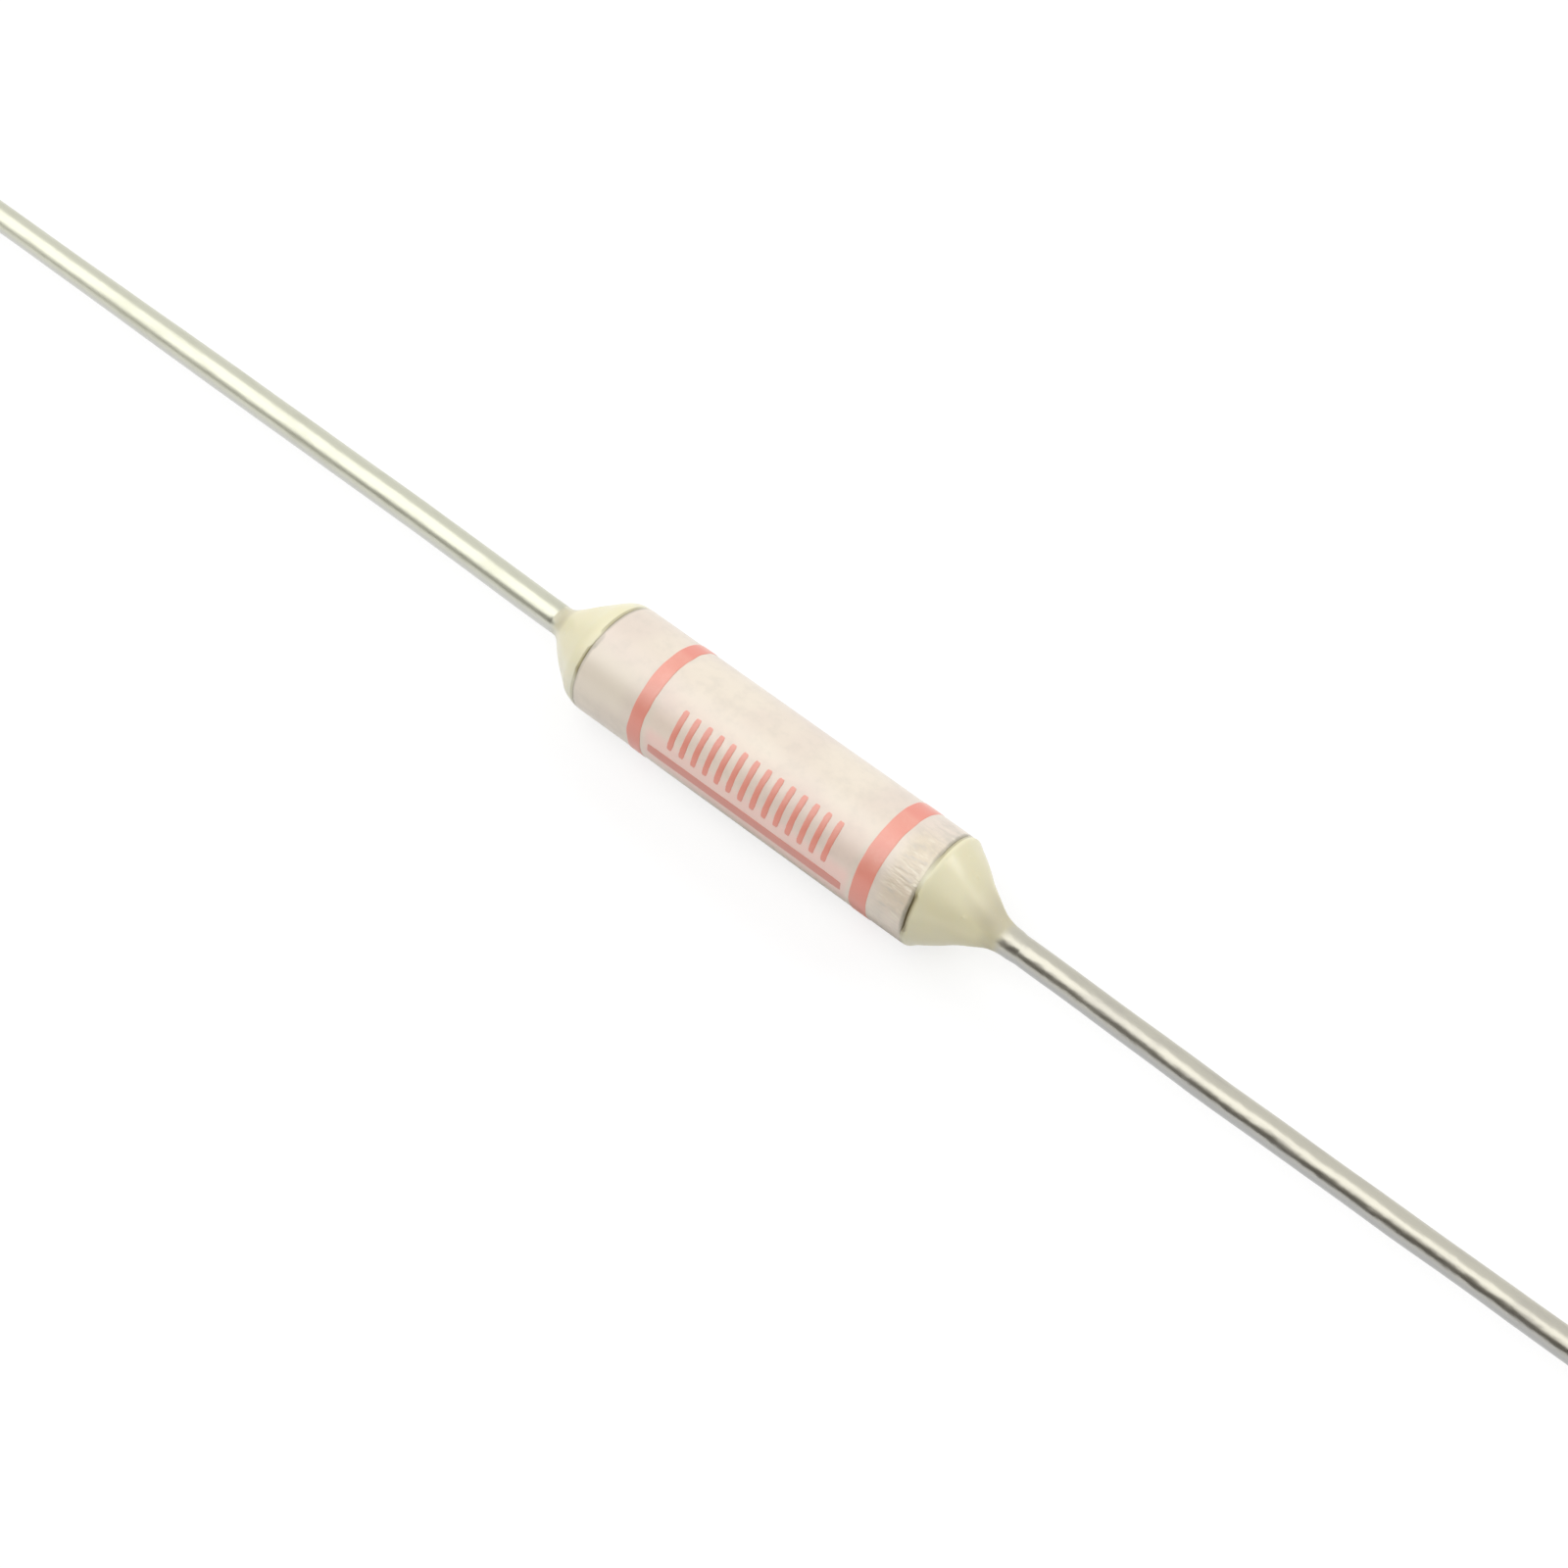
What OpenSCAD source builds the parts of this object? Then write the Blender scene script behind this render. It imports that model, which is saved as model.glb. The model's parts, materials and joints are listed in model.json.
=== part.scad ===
// Axial-lead thermal fuse: a fusible alloy link in a ceramic tube, sealed with resin at both ends.
// The wires run along X through the origin, which is the middle of the tube. +Z is up.

/* [Ceramic tube] */
// Length of the tube
tube_len = 8.6; // [8:0.1:12]
// Outside diameter of the tube
tube_d = 2.5; // [2.2:0.1:4]
// Thickness of the tube's wall
tube_wall = 0.5; // [0.35:0.05:0.65]
// Radius of the rounded outer rim at each end of the tube
rim_round = 0.08; // [0.03:0.01:0.2]
// Chamfer at each mouth of the bore
bore_chamfer = 0.05; // [0.02:0.01:0.12]

/* [Lead wires] */
// Diameter of the round wires
lead_d = 0.6; // [0.4:0.05:0.7]
// Free length of each wire, from the end of the tube
lead_len = 22; // [12:1:60]
// Straight length of wire between a cone and the slight bend beyond it
bend_gap = 0.4; // [0.2:0.1:2]
// Slope of the wire between its two bends, in degrees
bend_slope = 0.7; // [0.6:0.1:3]
// Swell of the wire's radius at each bend
bend_swell = 0.002; // [0.001:0.001:0.01]
// Distance that the left wire steps off the axis
left_step = 0.045; // [0.02:0.005:0.15]
// Direction of the left wire's step, from the top of the tube towards the front, in degrees
left_step_turn = -62; // [-180:1:180]
// Distance that the right wire steps off the axis
right_step = 0.058; // [0.02:0.002:0.15]
// Direction of the right wire's step, from the top of the tube towards the front, in degrees
right_step_turn = 118; // [-180:1:180]

/* [Fusible link] */
// Length of the alloy rod between the inner ends of the wires
link_len = 3.4; // [2:0.2:5]
// Air gap between the bore of the tube and the flux on the rod
flux_gap = 0.07; // [0.03:0.01:0.14]
// Thickness of the flux on the rod
flux_coat = 0.18; // [0.1:0.02:0.28]
// Length of wire that the flux covers past each end of the rod
flux_overlap = 0.5; // [0.3:0.1:0.9]
// Length of the rounded end of the flux
flux_nose = 0.45; // [0.2:0.05:0.8]

/* [End seals] */
// Depth of the resin inside the bore
plug_depth = 0.9; // [0.4:0.1:1.5]
// Step from the outside of the tube down to the edge of the resin
seal_step = 0.012; // [0.005:0.001:0.03]
// Thickness of the resin on the wire where the cone runs out
seal_film = 0.02; // [0.01:0.005:0.05]
// Slope of the left cone, in degrees from the axis
left_slope = 38; // [30:1:44]
// Radius of the left cone's shoulder at the tube
left_shoulder = 0.7; // [0.1:0.05:0.9]
// Radius of the left cone's hollow at the wire
left_hollow = 0.25; // [0.1:0.05:1.2]
// Slope of the right cone, in degrees from the axis
right_slope = 35; // [30:1:42]
// Radius of the right cone's shoulder at the tube
right_shoulder = 0.22; // [0.1:0.05:0.9]
// Radius of the right cone's hollow at the wire
right_hollow = 1.4; // [0.5:0.05:1.8]

/* [Printed bands] */
// Thickness of the printed ink
ink_t = 0.02; // [0.015:0.005:0.04]
// Plain margin between the left end of the tube and the left band
left_margin = 1.46; // [0.6:0.02:1.8]
// Width of the left band
left_band_w = 0.34; // [0.2:0.02:0.6]
// Plain margin between the right end of the tube and the right band
right_margin = 0.85; // [0.5:0.05:1.4]
// Width of the right band
right_band_w = 0.43; // [0.2:0.02:0.6]

/* [Printed row] */
// Turn of the middle of the row from the top of the tube towards the front, in degrees
row_turn = 49; // [0:1:90]
// Height of the upright bars, round the tube
bar_h = 0.94; // [0.5:0.02:1.2]
// Width of one bar
bar_w = 0.14; // [0.08:0.01:0.2]
// Distance from one bar to the next
bar_pitch = 0.31; // [0.25:0.01:0.5]
// Distance by which the row starts inside the ends of the rule
row_inset = 0.45; // [0.2:0.05:0.9]
// Width of the rule under the row, round the tube
rule_w = 0.25; // [0.1:0.01:0.35]
// Gap between the bars and the rule, round the tube
rule_drop = 0.2; // [0.1:0.01:0.4]
// Gap between each end of the rule and the band beside it
rule_gap = 0.22; // [0.1:0.02:0.5]

/* [Hidden] */
$fn = 96;
arc_steps = 8;

tube_r = tube_d / 2;
bore_r = tube_r - tube_wall;
tube_end = tube_len / 2;
lead_r = lead_d / 2;
lead_tip = tube_end + lead_len;
flux_r = bore_r - flux_gap;
link_r = flux_r - flux_coat;
link_end = link_len / 2;
flux_end = link_end + flux_overlap;
plug_end = tube_end - plug_depth;
seal_r = tube_r - seal_step;
film_r = lead_r + seal_film;
left_cone = cone_len(left_slope, left_shoulder, left_hollow);
right_cone = cone_len(right_slope, right_shoulder, right_hollow);

left_band_x = -tube_end + left_margin;
right_band_x = tube_end - right_margin - right_band_w;
rule_x = left_band_x + left_band_w + rule_gap;
rule_len = right_band_x - rule_gap - rule_x;
row_len = rule_len - 2 * row_inset;
bar_count = floor((row_len - bar_w) / bar_pitch) + 1;
row_x = rule_x + (rule_len - (bar_count - 1) * bar_pitch - bar_w) / 2;
rule_turn = row_turn + turn_of(bar_h / 2 + rule_drop + rule_w / 2);

// Angle at the axis of a length measured round the outside of the tube.
function turn_of(length) = length / tube_r * 180 / PI;

// Length of a seal's cone: its shoulder, its straight slope and its hollow.
function cone_len(slope, shoulder, hollow) =
    (shoulder + hollow) * sin(slope) + cone_straight(slope, shoulder, hollow);

// Length along the axis of the straight slope between a cone's shoulder and its hollow.
function cone_straight(slope, shoulder, hollow) =
    (seal_r - film_r - (shoulder + hollow) * (1 - cos(slope))) / tan(slope);

// Points on an arc about a centre, from one angle to the other, both included.
function arc(centre, radius, from, to) = [
    for (i = [0:arc_steps])
        let (a = from + (to - from) * i / arc_steps)
        centre + radius * [cos(a), sin(a)]
];

// Revolves a profile about the X axis. The profile's x is the radius and its y the place along X.
module revolved(outline) {
    rotate([0, 90, 0]) rotate_extrude() polygon(outline);
}

// A patch of ink on the tube: from x over a length, with its middle turned from the top to the front.
module ink_patch(x, length, turn, width) {
    rotate([0, 90, 0])
        rotate([0, 0, 180 + turn - turn_of(width) / 2])
            rotate_extrude(angle = turn_of(width))
                translate([tube_r, x]) square([ink_t, length]);
}

module ink_band(x, width) {
    revolved([[tube_r, x], [tube_r + ink_t, x], [tube_r + ink_t, x + width], [tube_r, x + width]]);
}

// A plug in the bore and a cone outside it: a round shoulder, a straight slope, then a hollow
// that runs out on the wire. Drawn for the right end.
module end_seal(slope, shoulder, hollow) {
    cone_tip = tube_end + cone_len(slope, shoulder, hollow);
    revolved(concat(
        [[lead_r, plug_end], [bore_r, plug_end], [bore_r, tube_end - bore_chamfer]],
        [[bore_r + bore_chamfer, tube_end], [seal_r, tube_end]],
        arc([seal_r - shoulder, tube_end], shoulder, 0, slope),
        arc([film_r + hollow, cone_tip], hollow, 180 + slope, 180),
        [[lead_r, cone_tip]]
    ));
}

// A length of round wire from a point [x, z], rising from the X axis towards +Z by an angle.
module wire(from, length, rise = 0) {
    translate([from[0], 0, from[1]]) rotate([0, 90 - rise, 0]) cylinder(h = length, d = lead_d);
}

// The metal at a bend in the wire, which two lengths of wire run into.
module wire_bend(at) {
    translate([at[0], 0, at[1]]) sphere(r = lead_r + bend_swell);
}

// A round wire from the alloy rod out through the seal. Past the cone it steps off the axis by two
// slight bends and then runs straight to its tip. Drawn for the right end, with the step upwards.
module stepped_wire(cone, step) {
    first = [tube_end + cone + bend_gap, 0];
    second = first + step * [1 / tan(bend_slope), 1];
    wire([link_end, 0], first[0] - link_end);
    wire_bend(first);
    wire(first, norm(second - first), bend_slope);
    wire_bend(second);
    wire(second, lead_tip - second[0]);
}

module ceramic_tube() {
    rim_x = tube_end - rim_round;
    rim_r = tube_r - rim_round;
    mouth_r = bore_r + bore_chamfer;
    mouth_x = tube_end - bore_chamfer;
    color("antiquewhite") revolved(concat(
        [[bore_r, mouth_x], [bore_r, -mouth_x], [mouth_r, -tube_end]],
        arc([rim_r, -rim_x], rim_round, -90, 0),
        arc([rim_r, rim_x], rim_round, 0, 90),
        [[mouth_r, tube_end]]
    ));
}

module end_seal_left() {
    color("cornsilk") mirror([1, 0, 0]) end_seal(left_slope, left_shoulder, left_hollow);
}

module end_seal_right() {
    color("cornsilk") end_seal(right_slope, right_shoulder, right_hollow);
}

module lead_left() {
    color("silver") mirror([1, 0, 0]) rotate([left_step_turn, 0, 0]) stepped_wire(left_cone, left_step);
}

module lead_right() {
    color("silver") rotate([right_step_turn, 0, 0]) stepped_wire(right_cone, right_step);
}

module fusible_alloy() {
    color("darkgray") translate([-link_end, 0, 0]) rotate([0, 90, 0]) cylinder(h = link_len, r = link_r);
}

// The coat of flux: elliptical noses on the wires, and a close fit round the alloy rod between them.
module flux_resin() {
    nose_x = flux_end - flux_nose;
    nose = [
        for (i = [0:arc_steps])
            let (a = 90 * i / arc_steps)
            [lead_r + (flux_r - lead_r) * cos(a), nose_x + flux_nose * sin(a)]
    ];
    far_nose = [for (i = [arc_steps:-1:0]) [nose[i][0], -nose[i][1]]];
    color("goldenrod") revolved(concat(
        [[link_r, link_end], [link_r, -link_end], [lead_r, -link_end]],
        far_nose,
        nose,
        [[lead_r, link_end]]
    ));
}

module ink_band_left() {
    color("salmon") ink_band(left_band_x, left_band_w);
}

module ink_band_right() {
    color("salmon") ink_band(right_band_x, right_band_w);
}

module ink_rule() {
    color("salmon") ink_patch(rule_x, rule_len, rule_turn, rule_w);
}

module ink_marks() {
    color("salmon")
        for (i = [0:bar_count - 1]) ink_patch(row_x + i * bar_pitch, bar_w, row_turn, bar_h);
}

ceramic_tube();
end_seal_left();
end_seal_right();
lead_left();
lead_right();
fusible_alloy();
flux_resin();
ink_band_left();
ink_band_right();
ink_rule();
ink_marks();
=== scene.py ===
import json
import math

import bpy
import numpy as np
from bpy.props import FloatProperty, FloatVectorProperty, IntProperty, PointerProperty
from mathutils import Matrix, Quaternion, Vector


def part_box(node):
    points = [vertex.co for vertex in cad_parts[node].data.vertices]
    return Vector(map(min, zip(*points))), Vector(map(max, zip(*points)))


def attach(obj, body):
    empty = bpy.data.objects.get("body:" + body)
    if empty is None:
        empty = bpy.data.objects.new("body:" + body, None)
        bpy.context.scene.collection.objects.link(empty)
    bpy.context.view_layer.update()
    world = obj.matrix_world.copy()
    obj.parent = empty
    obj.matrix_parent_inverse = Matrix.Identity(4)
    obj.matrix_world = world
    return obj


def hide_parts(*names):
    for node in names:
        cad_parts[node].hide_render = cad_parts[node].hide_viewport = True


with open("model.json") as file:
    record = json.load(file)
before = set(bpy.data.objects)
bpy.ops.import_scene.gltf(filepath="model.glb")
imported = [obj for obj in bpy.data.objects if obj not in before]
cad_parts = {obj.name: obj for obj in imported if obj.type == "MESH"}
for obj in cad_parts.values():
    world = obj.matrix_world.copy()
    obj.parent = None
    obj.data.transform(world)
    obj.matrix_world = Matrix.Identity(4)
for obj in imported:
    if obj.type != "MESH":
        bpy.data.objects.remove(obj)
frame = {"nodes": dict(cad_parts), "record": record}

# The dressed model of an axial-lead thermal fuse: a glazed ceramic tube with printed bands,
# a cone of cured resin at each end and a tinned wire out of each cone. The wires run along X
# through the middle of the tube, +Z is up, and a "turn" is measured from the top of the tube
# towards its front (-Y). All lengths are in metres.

bl_info = {
    "name": "Axial thermal fuse",
    "version": (1, 0, 0),
    "blender": (4, 5, 0),
    "location": "View3D > Sidebar > Fuse",
    "description": "Builds a glazed ceramic thermal fuse with resin seals and tinned wires",
    "category": "Object",
}

MM = 0.001
FULL_TURN = 2 * math.pi
LEFT, RIGHT = -1, 1
SIDE_NAMES = {LEFT: "left", RIGHT: "right"}
PRINT_GRIP = 0.009 * MM  # how far the back of a print reaches below the glaze
CLOSE_FIT = 0.002 * MM  # gap that a seal keeps to the ceramic round it
BORE_CHAMFER = 0.05 * MM  # chamfer at each mouth of the tube's bore
MOUTH_STEP = 0.055 * MM  # how far in, and how wide, a plug fills that chamfer
FILL_AT, FILL_SPREAD = 1.12 * MM, 0.25 * MM  # place of the right cone's fill beyond the tube's end
TIN_FULL, TIN_GONE = 11 * MM, 17 * MM  # between these, beyond the tube's end, extra tin thins out
LEAN_TURN = -62  # turn towards which both cones lean, up and back, in degrees
ARC = np.linspace(0, math.pi / 2, 9)[1:-1]  # angles inside the quarter turn of a round edge
BEVEL_ARC = np.linspace(0, math.pi / 2, 6)[1:]  # angles round the bevel of a wire's cut end

# Least roughness of the glaze, resin and ink, and of the tin. Below 0.274 the denoiser counts a
# reflection as a mirror's, and a finish that crosses that value renders with ragged lines.
GLOSS, TIN_GLOSS = 0.285, 0.276

# Stretches of a seam between rim and resin that stand open: middle turn and half width, in
# degrees, and how open they are, from 0 to 1.
OPEN_STRETCHES = {
    LEFT: ((-14, 42, 0.68), (42, 28, 0.74), (95, 45, 0.45), (185, 55, 0.8), (265, 40, 0.5)),
    RIGHT: ((-24, 49, 0.74), (64, 36, 1.0), (165, 50, 0.6), (250, 45, 0.85))}

# How each end of the tube is out of square: share of the slant, turn it leans to in degrees, and
# how far out the whole end sits, as a share of the slant.
RIM_LEANS = {LEFT: (0.75, 110, 0.42), RIGHT: (1.35, 75, -0.42)}

# Small bumps on each cone: how far beyond the tube's end, in millimetres, and at which turn, in
# degrees. Their height and the radius over which they fade follow.
BUMPS = ((0.36, -26), (0.68, -22), (0.9, 40), (0.5, 150), (0.8, 230))
BUMP_HEIGHT, BUMP_R = 0.015 * MM, 0.032 * MM

# The dark card's corners, as shares of the studio's reach: across and up from the table.
CARD_CORNERS = (
    (-0.82, 0), (1.5, 0), (1.5, 1.35), (-0.25, 1.35), (-0.295, 0.84), (-0.345, 0.68), (-0.456, 0.53),
    (-0.475, 0.33), (-0.52, 0.24))

# The lamps: setting of the radiance, direction from the fuse, width and height in metres, and how
# soft_lamp treats each.
LAMPS = {
    "soft_lamp_above": ("key", (-0.34, -0.47, 0.81), (0.52, 0.52), {"shines": False}),
    "soft_lamp_sheen": ("sheen", (-0.42, -0.335, 0.845), (0.52, 0.485), {"lights": False, "roll": 19}),
    "soft_lamp_back": ("back", (-0.30, 0.80, 0.50), (0.66, 0.36), {"shines": False}),
    "soft_lamp_front": ("front", (0.70, -0.56, 0.44), (0.50, 0.40), {"shines": False}),
    "soft_lamp_right": ("side", (0.53, 0.53, 0.66), (0.14, 0.14), {})}


# ---------------- sizes read from the frame

def outer_radius(node):
    """Radius of a round node that is centred on the X axis."""
    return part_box(node)[1].z


def right_end(node):
    """Largest x of a node."""
    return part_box(node)[1].x


def span(node):
    """Middle and half length of a node along X."""
    low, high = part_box(node)
    return (low.x + high.x) / 2, (high.x - low.x) / 2


def wire_mount(side):
    """Middle of a wire's cut end and the wire's radius, from the record's mounts."""
    name = f"lead_end_{SIDE_NAMES[side]}"
    found = next(m for m in frame["record"]["mounts"] if m["name"] == name)
    return Vector(found["pos_m"]), found["dims"]["r_mm"] * MM


TUBE_R = outer_radius("ceramic_tube")
TUBE_END = right_end("ceramic_tube")
INK_R = outer_radius("ink_band_left")
LINK_END = right_end("fusible_alloy")
PLUG_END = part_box("end_seal_right")[0].x
SEAL_R = outer_radius("end_seal_right")


def cone_length(side):
    """How far a seal reaches beyond the tube's end."""
    return abs(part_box(f"end_seal_{SIDE_NAMES[side]}")[0 if side == LEFT else 1].x) - TUBE_END


# ---------------- surfaces worked out with numpy

def round_points(x, radius, turn):
    """Points at a place x on the axis, a radius out and a turn from the top towards the front:
    (x, -radius * sin(turn), radius * cos(turn))."""
    x, radius, turn = np.broadcast_arrays(x, radius, turn)
    return np.stack([x, -radius * np.sin(turn), radius * np.cos(turn)], axis=-1)


def turns(count):
    """Evenly spaced turns round the axis, as one row."""
    return np.linspace(0, FULL_TURN, count, endpoint=False)[None, :]


def smooth_step(low, high, value):
    """0 below low, 1 above high, and 3 t^2 - 2 t^3 between them, t being the share of the way."""
    share = np.clip((value - low) / (high - low), 0, 1)
    return share * share * (3 - 2 * share)


def turned_apart(turn, centre):
    """The angle between a turn and a centre in degrees, the short way round."""
    return np.abs((turn - math.radians(centre) + math.pi) % FULL_TURN - math.pi)


def waves(along, turn, girth, shortest, seed, stretch=1.0, count=26):
    """Smooth unevenness of about -1 to 1 over a round piece: a sum of cosines of
    (wave number * along + whole number * turn + phase), scaled by the root of their count.
    Wavelengths run from the shortest up to four times it, and are longer along by the stretch."""
    draw = np.random.default_rng(seed)
    total = 0.0
    for _ in range(count):
        length = shortest * 4 ** draw.uniform()
        lean = draw.uniform(-math.pi / 2, math.pi / 2)
        whole = round(girth / length * math.cos(lean))
        number = FULL_TURN / (length * stretch) * math.sin(lean)
        total = total + np.cos(number * along + whole * turn + draw.uniform(0, FULL_TURN))
    return total / math.sqrt(count)


def ring_faces(rows, columns, looped, first):
    """Corner numbers of a grid of rings, each ring closed. A looped grid joins its last ring to
    its first, and any other has a middle point over each end, numbered after the rings."""
    row = np.arange(rows if looped else rows - 1)[:, None]
    column = np.arange(columns)[None, :]
    below, beside = (row + 1) % rows, (column + 1) % columns
    quads = np.stack(np.broadcast_arrays(
        row * columns + column, row * columns + beside,
        below * columns + beside, below * columns + column), axis=-1).reshape(-1, 4)
    if looped:
        return quads + first, np.empty((0, 3), int)
    here, following = np.arange(columns), (np.arange(columns) + 1) % columns
    start = np.full(columns, rows * columns)
    last = (rows - 1) * columns
    fans = np.concatenate([
        np.stack([following, here, start], axis=-1),
        np.stack([last + here, last + following, start + 1], axis=-1)])
    return quads + first, fans + first


def volume(points, triangles):
    """Volume inside closed triangles: a sixth of the sum of a . (b x c)."""
    a, b, c = (points[triangles[:, i]] for i in range(3))
    return np.einsum("ij,ij->i", a, np.cross(b, c)).sum() / 6


def add_object(name, data):
    """A new object in the scene."""
    made = bpy.data.objects.new(name, data)
    bpy.context.scene.collection.objects.link(made)
    return made


def ring_piece(name, grids, looped=False, crease=35):
    """One closed mesh object from grids of rings, each an array of (rings, points, xyz), with its
    faces turned outwards and its edges sharp past the crease angle in degrees."""
    points, faces, first = [], [], 0
    for rings in grids:
        rows, columns = rings.shape[:2]
        cloud = rings.reshape(-1, 3)
        if not looped:
            cloud = np.concatenate([cloud, rings[[0, -1]].mean(axis=1)])
        quads, fans = ring_faces(rows, columns, looped, first)
        solid = np.concatenate([quads[:, [0, 1, 2]], quads[:, [0, 2, 3]], fans]) - first
        if volume(cloud, solid) < 0:
            quads, fans = quads[:, ::-1], fans[:, ::-1]
        points.append(cloud)
        faces += quads.tolist() + fans.tolist()
        first += len(cloud)
    mesh = bpy.data.meshes.new(name)
    mesh.from_pydata(np.concatenate(points).tolist(), [], faces)
    mesh.polygons.foreach_set("use_smooth", np.ones(len(mesh.polygons), bool))
    mesh.set_sharp_from_angle(angle=math.radians(crease))
    mesh.update()
    if mesh.validate():
        raise RuntimeError(f"the mesh of {name} had faults")
    return add_object(name, mesh)


def dress(piece, finish, slot, *nodes):
    """Gives a new piece its material and the nodes it stands for; the slot is not used."""
    piece.data.materials.append(finish)
    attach(piece, "root")
    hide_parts(*nodes)


# ---------------- shader arithmetic and nodes

def sign(operation, flipped=False):
    """The method behind an arithmetic sign: it adds a Math node of that operation."""
    def method(self, other):
        return self.math(operation, *((other, self) if flipped else (self, other)))
    return method


class Value:
    """A number that varies over a surface. Arithmetic on it adds the Math nodes."""

    def __init__(self, tree, socket):
        self.tree = tree
        self.socket = socket

    def math(self, operation, *terms):
        """A Math node of that operation on the terms, which are numbers or values."""
        node = self.tree.nodes.new("ShaderNodeMath")
        node.operation = operation
        for pin, term in zip(node.inputs, terms):
            plug(self.tree, pin, term)
        return Value(self.tree, node.outputs[0])

    __add__ = __radd__ = sign("ADD")
    __mul__ = __rmul__ = sign("MULTIPLY")
    __sub__, __rsub__ = sign("SUBTRACT"), sign("SUBTRACT", flipped=True)
    __pow__, __rpow__ = sign("POWER"), sign("POWER", flipped=True)

    def __abs__(self):
        return self.math("ABSOLUTE", self)

    def most(self, other):
        """The larger of the two."""
        return self.math("MAXIMUM", self, other)

    def cosine(self):
        """The cosine of an angle."""
        return self.math("COSINE", self)

    def angle_from(self, other):
        """The angle whose tangent is this over the other."""
        return self.math("ARCTAN2", self, other)


def plug(tree, pin, given):
    """Links a value to an input, or sets the input to a plain number or colour."""
    if isinstance(given, Value):
        tree.links.new(given.socket, pin)
    elif given is not None:
        pin.default_value = tuple(given) + (1.0,) if pin.type == "RGBA" and len(given) == 3 else given


class Nodes:
    """The node tree of a material, or of the world."""

    def __init__(self, owner):
        owner.use_nodes = True
        self.tree = owner.node_tree
        self.tree.nodes.clear()

    def node(self, kind, settings=None, inputs=None, output=0):
        """One node of a type. Its settings come first, and its inputs are numbers, colours or
        values by socket name or number. Returns the value of one of its outputs."""
        made = self.tree.nodes.new(kind)
        for name, setting in (settings or {}).items():
            setattr(made, name, setting)
        for name, given in (inputs or {}).items():
            plug(self.tree, made.inputs[name], given)
        return Value(self.tree, made.outputs[output])

    def place(self, stretch=(1, 1, 1), shift=(0, 0, 0)):
        """The object's own coordinates in millimetres, divided by the stretch along each axis."""
        point = self.node("ShaderNodeTexCoord", output="Object")
        return self.node("ShaderNodeMapping", {"vector_type": "POINT"}, {
            "Vector": point, "Location": shift, "Scale": tuple(1 / (MM * s) for s in stretch)})

    def parts(self, place):
        """The x, y and z of a place."""
        return [self.node("ShaderNodeSeparateXYZ", None, {0: place}, axis) for axis in range(3)]

    def around(self):
        """The x of a point and its distance from the X axis, both in millimetres, and its turn from
        the top towards the front."""
        x, y, z = self.parts(self.place())
        return x, (y * y + z * z) ** 0.5, (0 - y).angle_from(z)

    def lobe(self, turn, centre, half_width):
        """1 about a turn, falling to 0 at the half width, both in degrees."""
        near = (turn - math.radians(centre)).cosine()
        wide, narrow = math.cos(math.radians(half_width)), math.cos(math.radians(0.4 * half_width))
        return self.rise(near, wide, narrow)

    def beyond_rim(self, x, turn, slant):
        """How far a point lies beyond the tube's end, in millimetres, how open the seam is at its
        turn, and 0 on the left half or 1 on the right. The left seam has a small jog in it."""
        right = self.rise(x, -0.01, 0.01)
        sides = ((LEFT, 1 - right), (RIGHT, right))
        shift = sum(rim_shift(side, turn, slant / MM) * here for side, here in sides)
        gap = sum(self.lobe(turn, centre, width) * (here * level)
                  for side, here in sides for centre, width, level in OPEN_STRETCHES[side])
        jog = self.lobe(turn, 23, 11) * (0.05 - right * 0.05)
        return abs(x) - shift + jog - TUBE_END / MM, gap, right

    def noise(self, size, detail=2.0, roughness=0.5, **where):
        """Cloudy noise from 0 to 1 with blotches of about a size in millimetres, stretched and
        shifted as a place is."""
        return self.node("ShaderNodeTexNoise", {"noise_dimensions": "3D"}, {
            "Vector": self.place(**where), "Scale": 1 / size, "Detail": detail,
            "Roughness": roughness}, "Fac")

    def rise(self, value, low, high):
        """0 where a value is below low, 1 above high, smooth between. Low may be the larger."""
        return self.node("ShaderNodeMapRange", {"interpolation_type": "SMOOTHSTEP"}, {
            "Value": value, "From Min": low, "From Max": high})

    def mix(self, first, second, share):
        """One colour blended into another by a share."""
        return self.node("ShaderNodeMix", {"data_type": "RGBA"}, {0: share, 6: first, 7: second}, 2)

    def coats(self, colour, *coats):
        """A colour with coats over it in turn, each a colour and the share that it covers."""
        for coat, share in coats:
            colour = self.mix(colour, coat, share)
        return colour

    def bump(self, height, depth, below=None):
        """The surface tilted by a height from 0 to 1 that stands for a depth in millimetres."""
        return self.node("ShaderNodeBump", None, {
            "Height": height, "Distance": depth * MM, "Normal": below})

    def finish(self, kind, shader):
        """Ends the tree in its output node."""
        out = self.tree.nodes.new(kind)
        self.tree.links.new(shader.socket, out.inputs["Surface"])


def new_finish(name, **inputs):
    """A material with a Principled shader: its nodes, and a function that ends them with inputs."""
    material = bpy.data.materials.new(name)
    nodes = Nodes(material)

    def close(**more):
        named = {key.replace("_", " "): given for key, given in {**inputs, **more}.items()}
        nodes.finish("ShaderNodeOutputMaterial", nodes.node("ShaderNodeBsdfPrincipled", None, named))
        return material

    return nodes, close


# ---------------- materials

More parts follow.
